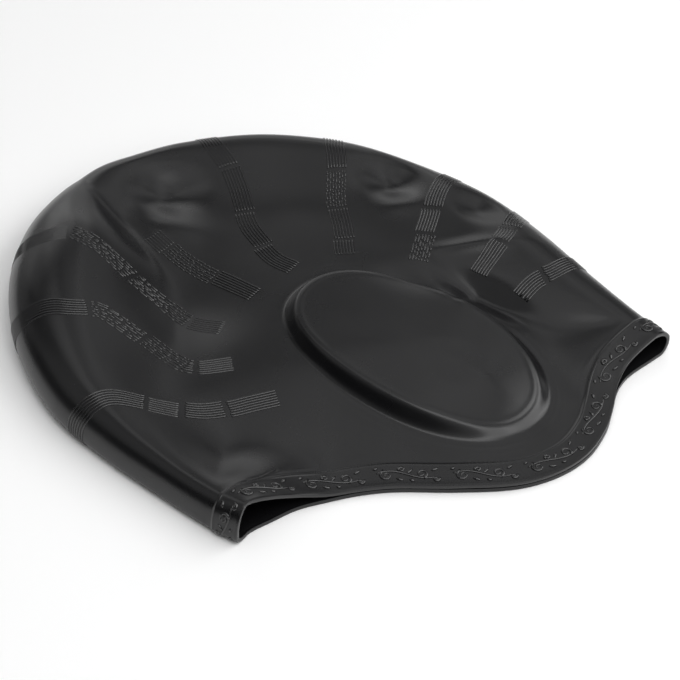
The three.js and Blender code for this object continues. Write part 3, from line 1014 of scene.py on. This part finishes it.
CROWN_FIRST = RibBand(
    (
        (19.0, 101.0),
        (18.0, 92.4),
        (17.7, 82.0),
        (14.9, 70.6),
        (11.3, 60.7),
        (7.4, 49.8),
        (6.4, 39.4),
        (6.3, 29.8),
        (9.3, 21.6),
    ),
    (
        Stretch(0.0, 20.5, 0.0),
        Stretch(21.5, 43.5, -0.4),
        Stretch(44.5, 64.5, 0.1),
        Stretch(65.3, 82.0, 1.3),
    ),
)
CROWN_SECOND = RibBand(
    ((61.5, 76.0), (57.5, 67.9), (50.9, 56.7), (41.7, 43.0), (35.6, 30.0), (28.5, 16.9)),
    (
        Stretch(0.0, 21.0, 0.0),
        Stretch(22.0, 40.5, 0.3, RibLook.BROKEN),
        Stretch(41.5, 59.0, 0.0),
        Stretch(59.8, 69.0, 0.7),
    ),
)
BROW_HIGH = RibBand(
    ((88.0, 31.0), (80.3, 27.6), (73.2, 22.9), (64.2, 14.7), (56.1, 7.8), (47.3, -0.2)),
    (
        Stretch(0.0, 24.0, 0.0),
        Stretch(25.0, 36.5, 0.4, RibLook.FINE),
        Stretch(37.5, 51.6, -0.8, RibLook.BROKEN),
    ),
)
BROW_MIDDLE = RibBand(
    ((97.0, -1.0), (90.4, -4.5), (79.5, -12.1), (70.8, -15.3), (61.3, -18.8)),
    (
        Stretch(0.0, 16.0, 0.0),
        Stretch(17.0, 25.0, 0.6, RibLook.FINE),
        Stretch(26.0, 41.5, -0.4),
    ),
)
BROW_LOW = RibBand(
    ((97.5, -36.0), (90.6, -36.7), (82.2, -37.4), (74.2, -36.2), (66.4, -37.3)),
    (Stretch(0.0, 19.5, 0.0), Stretch(20.5, 33.0, -0.5)),
)
RIB_BANDS = (
    NAPE_LOW,
    NAPE_MIDDLE,
    NAPE_HIGH,
    CREASE_RIBS,
    CROWN_FIRST,
    CROWN_SECOND,
    BROW_HIGH,
    BROW_MIDDLE,
    BROW_LOW,
)


@dataclass
class GripRibs:
    """Bands of fine ribs that run from the field over the rolled fold to the other side."""

    skin: BVHTree
    pitch: float = 1.12
    count: int = 7
    radius: float = 0.4
    crest: float = 9.0
    step: float = 1.5
    far: float = 60.0
    roll_height: float = 5.0
    roll_top: int = 80
    roll_step: int = 6
    taper: float = 0.15
    tip: float = 0.5
    end_trim: float = 0.25
    dash: tuple[float, float] = (0.7, 2.6)
    break_gap: tuple[float, float] = (0.12, 0.5)
    shortest: float = 0.3
    wander: float = 0.22
    seed: int = 7

    def __post_init__(self) -> None:
        """Seeds the small irregularities."""
        self.chance = random.Random(self.seed)

    def hit(self, start: Vector, way: Vector, proud: float) -> Vector | None:
        """Finds the middle of a rib's bead on the skin.

        Args:
            start: Where a ray starts, in millimetres.
            way: The ray's direction.
            proud: How far the bead stands out of the skin.

        Returns:
            The bead's middle in millimetres, or None where the ray meets nothing.
        """
        place, normal, _, _ = self.skin.ray_cast(start * MM, way.normalized())
        return None if place is None else place / MM + normal * (proud - self.radius)

    def line(self, plan: np.ndarray, outward: np.ndarray, proud: float) -> list[Vector]:
        """Traces a rib over the upper sheet, round the fold and back along the lower sheet.

        Args:
            plan: Plan points from the fold's crest inwards.
            outward: The plan direction from the crest to the outline.
            proud: How far the rib stands out of the skin.

        Returns:
            Points from the inner end above to the inner end below.
        """
        down, up = Vector((0, 0, -1)), Vector((0, 0, 1))
        above = [self.hit(Vector((x, y, self.far)), down, proud) for x, y in plan[::-1]]
        below = [self.hit(Vector((x, y, -self.far)), up, proud) for x, y in plan]
        away = Vector((*outward, 0))
        axis = Vector((*plan[0], self.roll_height))
        roll = []
        for degrees in range(self.roll_top, -self.roll_top - self.roll_step, -self.roll_step):
            angle = math.radians(degrees)
            way = away * math.cos(angle) + up * math.sin(angle)
            roll.append(self.hit(axis + way * self.far, -way, proud))
        return [p for p in (*above, *roll, *below) if p is not None]

    def strokes(self) -> list[Stroke]:
        """Lays out every rib of every band.

        Returns:
            The ribs' strokes.
        """
        made = []
        for band in RIB_BANDS:
            path = RowCurve(np.array(band.path))
            steps = int((path.length - self.crest) / self.step)
            down = np.linspace(self.crest, path.length, steps + 1)
            outward = path.at(np.array(0.0)) - path.at(np.array(self.crest))
            outward = outward / np.linalg.norm(outward)
            for rank in range(self.count):
                side = (rank - (self.count - 1) / 2) * self.pitch
                for stretch in band.stretches:
                    plan = path.at(down) + path.normal(down) * (side + stretch.shift)
                    points = self.line(plan, outward, stretch.look.value)
                    made += self.cut(points, path.length, down, stretch)
        return made

    def cut(self, points: list[Vector], length: float, down: np.ndarray, stretch: Stretch) -> list[Stroke]:
        """Cuts one stretch out of a traced line, on both sides of the cap.

        Args:
            points: The whole line from the upper inner end to the lower one.
            length: The length of the band's path.
            down: The distances along the path of the points on either sheet.
            stretch: The stretch to keep.

        Returns:
            One stroke, or many short ones where the ribs are broken.
        """
        per = (len(down) - 1) / (length - self.crest)
        last = len(points) - 1
        inner, outer = (length - stretch.stop) * per, (length - stretch.start) * per
        over_roll = stretch.start < self.crest
        spans = [(inner, last - inner)] if over_roll else [(inner, outer), (last - outer, last - inner)]
        strokes = []
        for first, final in spans:
            first += self.chance.uniform(0.0, self.end_trim)
            final -= self.chance.uniform(0.0, self.end_trim)
            if stretch.look is RibLook.BROKEN:
                at = first
                while at < final - self.shortest:
                    until = min(final, at + self.chance.uniform(*self.dash))
                    aside = self.chance.uniform(-self.wander, self.wander)
                    strokes.append(self.stroke(points, at, until, aside))
                    at = until + self.chance.uniform(*self.break_gap)
            else:
                strokes.append(self.stroke(points, first, final, 0.0))
        return strokes

    def stroke(self, points: list[Vector], first: float, final: float, aside: float) -> Stroke:
        """Makes a bead between two places on a line, tapered at its ends.

        Args:
            points: The line in millimetres.
            first: Where the bead starts, in points along the line.
            final: Where it ends.
            aside: A sideways shift in millimetres.

        Returns:
            The stroke in metres.
        """
        line = np.array(points)
        steps = max(3, int(math.ceil(final - first)) + 1)
        at = np.linspace(first, final, steps)
        at = np.concatenate([[at[0], at[0] + self.taper], at[1:-1], [at[-1] - self.taper, at[-1]]])
        index = np.arange(len(line))
        place = np.stack([np.interp(at, index, c) for c in line.T], axis=-1)
        place[:, :2] += aside
        radii = np.full(len(at), self.radius)
        radii[[0, -1]] *= self.tip
        return Stroke(place * MM, radii * MM)

    def build(self, material: bpy.types.Material) -> bpy.types.Object:
        """Returns the ribs as one piece."""
        return beads(self.strokes(), "grip_ribs", material, 2)


class Curl(NamedTuple):
    """A spiral of the vine: its middle, outer radius, outer end's bearing and winding hand."""

    x: float
    y: float
    size: float
    turn: float
    hand: int


class Leaf(NamedTuple):
    """A leaf of the vine: the flat places of its two ends."""

    x: float
    y: float
    to_x: float
    to_y: float


# One repeat of the vine: round the mouth by in from the lip
CURLS = (
    Curl(5.4, 5.0, 2.3, 110, 1),
    Curl(17.4, 5.6, 2.1, -70, 1),
    Curl(10.6, 7.4, 1.1, 200, -1),
    Curl(22.4, 3.4, 1.1, 20, -1),
)
LEAVES = (
    Leaf(8.6, 3.6, 11.2, 2.5),
    Leaf(12.4, 5.6, 14.4, 7.6),
    Leaf(20.6, 7.0, 23.0, 8.2),
    Leaf(13.2, 3.0, 15.0, 2.2),
    Leaf(1.2, 7.6, 3.0, 8.4),
)


@dataclass
class RimScrolls:
    """A plain running vine of curls and leaves in low relief all round the mouth band."""

    form: CapForm
    shift: np.ndarray
    motif: float = 25.0
    stem: float = 0.45
    proud: float = 0.34
    stem_middle: float = 5.2
    stem_swing: float = 1.5
    stem_taper: float = 0.35
    curl_turns: float = 1.3
    curl_close: float = 0.82
    curl_weight: float = 1.45
    leaf_tip: float = 0.22
    leaf_swell: float = 0.45
    edge: float = 0.5
    rings: int = 15
    sheet_stations: int = 240
    end_stations: int = 60

    def __post_init__(self) -> None:
        """Lays the band out flat: distance round the mouth by distance in from the lip."""
        form = self.form
        self.deep = np.linspace(self.edge, form.band_width - self.edge, self.rings)
        upper = form.band_sheet(True, self.deep, self.sheet_stations)
        lower = form.band_sheet(False, self.deep, self.sheet_stations)
        brow = form.band_end(False, self.deep, self.end_stations)
        nape = form.band_end(True, self.deep, self.end_stations)
        loop = [upper, brow[:, 1:], lower[:, ::-1][:, 1:], nape[:, ::-1][:, 1:]]
        self.places = np.concatenate(loop, axis=1)
        across = np.gradient(self.places, axis=0)
        along = np.gradient(self.places, axis=1)
        self.normals = np.cross(across, along)
        self.normals /= np.linalg.norm(self.normals, axis=-1, keepdims=True)
        if self.normals[self.rings // 2, self.sheet_stations // 2, 2] < 0:
            self.normals = -self.normals
        rise = form.raised(self.deep)[:, None, None]
        self.places = self.places + self.normals * rise + self.shift
        middle = self.places[self.rings // 2]
        self.along = np.concatenate([[0.0], np.cumsum(np.linalg.norm(np.diff(middle, axis=0), axis=1))])

    def lifted(self, flat: np.ndarray, proud: float) -> np.ndarray:
        """Lays flat points on the band.

        Args:
            flat: Rows of distance round the mouth and distance in from the lip.
            proud: How far the points stand above the face.

        Returns:
            Points in metres.
        """
        i = np.interp(flat[:, 0], self.along, np.arange(len(self.along)))
        j = np.interp(flat[:, 1], self.deep, np.arange(len(self.deep)))
        i0, j0 = np.minimum(i.astype(int), len(self.along) - 2), np.minimum(j.astype(int), len(self.deep) - 2)
        a, b = (i - i0)[:, None], (j - j0)[:, None]

        def read(grid: np.ndarray) -> np.ndarray:
            """Returns the grid's value between its four nearest points."""
            near = lerp(grid[j0, i0], grid[j0, i0 + 1], a)
            far = lerp(grid[j0 + 1, i0], grid[j0 + 1, i0 + 1], a)
            return lerp(near, far, b)

        return (read(self.places) + read(self.normals) * proud) * MM

    def spiral(self, start: float, curl: Curl, t: np.ndarray) -> np.ndarray:
        """Draws a curl.

        Args:
            start: Where its repeat starts, round the mouth.
            curl: The curl.
            t: 0 at its outer end and 1 at its inner end.

        Returns:
            Flat points from the outer end inwards.
        """
        angle = math.radians(curl.turn) + curl.hand * t * 2 * self.curl_turns * math.pi
        radius = curl.size * (1 - self.curl_close * t)
        return np.column_stack([start + curl.x + radius * np.cos(angle), curl.y + radius * np.sin(angle)])

    def motif_strokes(self, x: float) -> list[tuple[np.ndarray, np.ndarray]]:
        """Draws one repeat of the vine.

        Args:
            x: Where it starts, round the mouth.

        Returns:
            Flat points and radii of each of its strokes.
        """
        t = np.linspace(0, 1, 25)
        sway = self.stem_middle + self.stem_swing * np.sin(2 * math.pi * t)
        stem = np.column_stack([x + self.motif * t, sway])
        taper = np.maximum(np.sin(math.pi * t) ** 0.4, self.stem_taper)
        drawn = [(stem[2:-3], self.stem * taper[2:-3])]
        t = np.linspace(0, 1, 15)
        thin = self.stem * self.curl_weight * lerp(1.0, 0.5, t)
        drawn += [(self.spiral(x, curl, t), thin) for curl in CURLS]
        t = np.linspace(0, 1, 7)
        swell = self.leaf_tip + self.leaf_swell * np.sin(math.pi * t)
        for leaf in LEAVES:
            points = np.column_stack([x + lerp(leaf.x, leaf.to_x, t), lerp(leaf.y, leaf.to_y, t)])
            drawn.append((points, swell))
        return drawn

    def strokes(self) -> list[Stroke]:
        """Repeats the vine all round the mouth.

        Returns:
            The vine's strokes.
        """
        repeats = int(self.along[-1] // self.motif)
        made = []
        for k in range(repeats):
            for flat, radii in self.motif_strokes(k * self.along[-1] / repeats):
                sunk = self.proud - np.mean(radii)
                made.append(Stroke(self.lifted(flat, sunk), radii * MM))
        return made

    def build(self, material: bpy.types.Material) -> bpy.types.Object:
        """Returns the vine as one piece."""
        return beads(self.strokes(), "rim_scrolls", material, 1)


@dataclass
class Studio:
    """A pale floor, soft lights all round, and a camera at the photograph's angle."""

    azimuth: float = -34.0
    elevation: float = 42.0
    distance: float = 0.9
    lens: float = 134.84
    look_at: tuple[float, float, float] = (1.2, -19.0, 8.0)
    floor_half: float = 4.0
    floor_drop: float = 0.3
    floor_colour: tuple[float, float, float, float] = (0.98, 0.98, 0.98, 1.0)
    floor_roughness: float = 0.8
    near_size: float = 0.42
    wide_size: float = 0.8
    light_reach: float = 1.25
    level: float = 1.1
    near_lights: tuple[tuple[str, float, float, float], ...] = (
        ("horizon_far_left", -60, 14, 0.15),
        ("horizon_left", -40, 14, 0.25),
        ("horizon_near_left", -20, 14, 0.5),
        ("horizon_ahead", 0, 14, 0.32),
        ("horizon_near_right", 20, 14, 0.2),
        ("low_left", -40, 28, 0.2),
        ("low_near_left", -20, 28, 0.45),
        ("low_ahead", 0, 28, 0.32),
        ("low_far_right", 60, 28, 1.4),
        ("middle_near_right", 20, 42, 0.2),
        ("middle_right", 40, 42, 0.25),
        ("middle_far_right", 60, 42, 0.9),
        ("high_left", -40, 56, 0.4),
        ("high_ahead", 0, 56, 0.25),
        ("high_near_right", 20, 56, 0.2),
        ("top_left", -40, 70, 0.3),
        ("top_right", 40, 70, 0.4),
    )
    wide_lights: tuple[tuple[str, float, float, float], ...] = (
        ("front_left", -135, 42, 0.4),
        ("side_left", -90, 42, 0.75),
        ("side_right", 90, 42, 4.9),
        ("front_right", 135, 42, 4.4),
        ("front", 180, 42, 1.0),
        ("over_front", 180, 70, 4.4),
        ("overhead", 0, 90, 0.84),
    )

    def camera(self) -> None:
        """Adds the scene's camera."""
        data = bpy.data.cameras.new("camera")
        data.lens = self.lens
        data.sensor_width = 36.0
        data.clip_start = 0.01
        camera = bpy.data.objects.new("camera", data)
        bpy.context.scene.collection.objects.link(camera)
        a, e = math.radians(self.azimuth), math.radians(self.elevation)
        back = Vector((math.sin(a) * math.cos(e), -math.cos(a) * math.cos(e), math.sin(e)))
        camera.location = Vector(self.look_at) * MM + back * self.distance
        camera.rotation_euler = back.to_track_quat("Z", "Y").to_euler()
        bpy.context.scene.camera = camera

    def floor(self) -> None:
        """Adds the pale floor."""
        bm = bmesh.new()
        made = bmesh.ops.create_grid(bm, x_segments=1, y_segments=1, size=self.floor_half)["verts"]
        bmesh.ops.translate(bm, verts=made, vec=Vector((0, 0, -self.floor_drop * MM)))
        mesh = bpy.data.meshes.new("floor")
        bm.to_mesh(mesh)
        bm.free()
        material = bpy.data.materials.new("pale_floor")
        material.use_nodes = True
        shader = material.node_tree.nodes["Principled BSDF"]
        shader.inputs["Base Color"].default_value = self.floor_colour
        shader.inputs["Roughness"].default_value = self.floor_roughness
        mesh.materials.append(material)
        floor = bpy.data.objects.new("floor", mesh)
        bpy.context.scene.collection.objects.link(floor)

    def light(self, name: str, bearing: float, height: float, power: float, size: float) -> None:
        """Adds a soft light that faces the cap.

        Args:
            name: The light's name.
            bearing: Degrees to the camera's right from straight ahead of it.
            height: Degrees up from the floor.
            power: Its power in watts.
            size: Its side in metres.
        """
        data = bpy.data.lights.new(name, "AREA")
        data.shape = "SQUARE"
        data.size = size
        data.energy = power * self.level
        light = bpy.data.objects.new(name, data)
        bpy.context.scene.collection.objects.link(light)
        a, e = math.radians(bearing - self.azimuth), math.radians(height)
        way = Vector((math.sin(a) * math.cos(e), math.cos(a) * math.cos(e), math.sin(e)))
        light.location = way * self.light_reach
        light.rotation_euler = way.to_track_quat("Z", "Y").to_euler()

    def build(self) -> None:
        """Sets up the camera, the floor, the lights and the dark surroundings."""
        self.camera()
        self.floor()
        for lights, size in ((self.near_lights, self.near_size), (self.wide_lights, self.wide_size)):
            for name, bearing, height, power in lights:
                self.light(name, bearing, height, power, size)
        world = bpy.data.worlds.new("studio")
        world.use_nodes = True
        world.node_tree.nodes["Background"].inputs["Strength"].default_value = 0.0
        bpy.context.scene.world = world
        bpy.context.scene.view_settings.view_transform = "Standard"


def report(piece: bpy.types.Object) -> None:
    """Logs a piece's name and face count."""
    LOG.info("%s: %d faces", piece.name, len(piece.data.polygons))


def main() -> None:
    """Builds the studio, the skin and its relief."""
    logging.basicConfig(level=logging.INFO, format="%(message)s")
    Studio().build()
    grain, dust = Effects.skin_grain(), Effects.dust()
    skin_finish = SiliconeFinish("black_silicone").build(grain, dust)
    relief = SiliconeFinish("black_silicone_relief", satin=0.2, dull=0.28, gloss=0.75)
    relief_finish = relief.build(grain, dust)
    form = CapForm()
    shell = Shell(form)
    skin = shell.build(skin_finish)
    report(skin)
    tree = BVHTree.FromObject(skin, bpy.context.evaluated_depsgraph_get())
    report(GripRibs(tree).build(relief_finish))
    report(RimScrolls(form, shell.shift).build(relief_finish))


if __name__ == "__main__":
    main()
